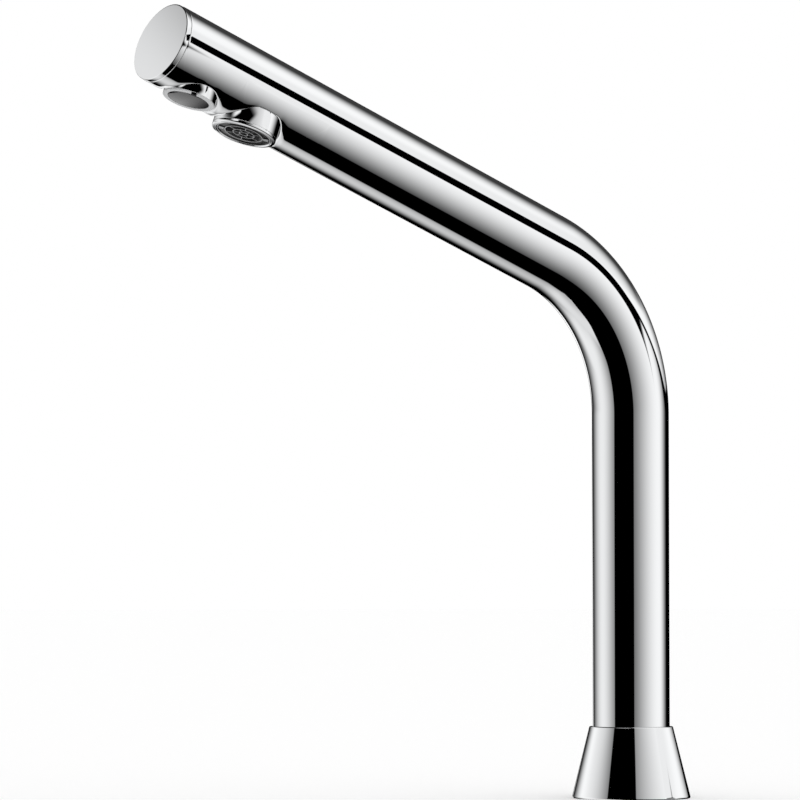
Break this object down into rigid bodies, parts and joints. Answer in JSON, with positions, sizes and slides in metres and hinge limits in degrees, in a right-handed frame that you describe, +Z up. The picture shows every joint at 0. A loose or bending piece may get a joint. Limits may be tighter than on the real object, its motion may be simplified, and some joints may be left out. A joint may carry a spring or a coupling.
{
  "type": "sensor basin tap",
  "caption": "Tall bent-tube basin tap on a cone collar, with a hand sensor and a recessed water outlet under its rising spout.",
  "frame": {"origin": "centre of the foot on the deck, midway between the two stud holes", "axes": "+Z up the column, the spout reaches towards -Y, +X to the right of a person facing +Y"},
  "size_m": [0.0491, 0.2701, 0.3101],
  "materials": {
    "polished_chrome": "mirror chrome plating on brass",
    "turned_brass": "bare turned brass",
    "stainless_steel": "bare machined stainless steel",
    "copper_winding": "lacquered copper wire",
    "black_rubber": "moulded seal rubber",
    "white_plastic": "moulded white acetal",
    "tube_plastic": "milky polythene tube",
    "black_plastic": "moulded black plastic",
    "grille_plastic": "moulded grey acetal",
    "grey_ring_plastic": "matt light grey plastic",
    "smoked_lens": "smoked glossy acrylic",
    "cable_sheath": "soft black cable sheath",
    "circuit_board": "green solder mask",
    "eye_plastic": "dark clear epoxy"
  },
  "bodies": {
    "tap": {"body_tube": "polished_chrome", "base_collar": "polished_chrome", "outlet_barrel": "polished_chrome", "sensor_barrel": "polished_chrome", "end_cap": "polished_chrome", "foot_block": "turned_brass", "outlet_block": "turned_brass", "valve_core": "stainless_steel", "guide_tube": "stainless_steel", "coil_frame": "stainless_steel", "coil_end_plate": "stainless_steel", "column_grub_screws": "stainless_steel", "inlet_strainer": "stainless_steel", "aerator_screen": "stainless_steel", "tube_clamps": "stainless_steel", "plunger_spring": "stainless_steel", "check_spring": "stainless_steel", "coil_winding": "copper_winding", "end_cap_seal": "black_rubber", "collar_seal": "black_rubber", "foot_gasket": "black_rubber", "cable_gland": "black_rubber", "valve_core_seal": "black_rubber", "head_seal": "black_rubber", "outlet_washer": "black_rubber", "aerator_washer": "black_rubber", "lens_seal": "black_rubber", "flow_regulator": "black_rubber", "outlet_head": "white_plastic", "check_seat": "white_plastic", "check_guide": "white_plastic", "coil_bobbin": "white_plastic", "water_tube": "tube_plastic", "coil_terminal": "black_plastic", "sensor_housing": "black_plastic", "sensor_nut": "black_plastic", "aerator_housing": "black_plastic", "aerator_insert": "grille_plastic", "sensor_ring": "grey_ring_plastic", "sensor_lens": "smoked_lens", "sensor_cable": "cable_sheath", "coil_lead": "cable_sheath", "sensor_board": "circuit_board", "ir_emitter": "eye_plastic", "ir_receiver": "eye_plastic"},
    "plunger": {"plunger": "stainless_steel", "plunger_seal": "black_rubber"},
    "check_poppet": {"check_poppet": "white_plastic"}
  },
  "joints": [
    {"name": "plunger_slide", "type": "slide", "parent": "tap", "child": "plunger", "axis": [0, 0, -1], "range_m": [0, 0.0012], "stiffness_N_per_m": 400, "springref_m": -0.003, "deforming": ["plunger_spring"]},
    {"name": "check_slide", "type": "slide", "parent": "tap", "child": "check_poppet", "axis": [0, 0, 1], "range_m": [0, 0.002], "stiffness_N_per_m": 60, "springref_m": -0.002, "deforming": ["check_spring"]}
  ]
}
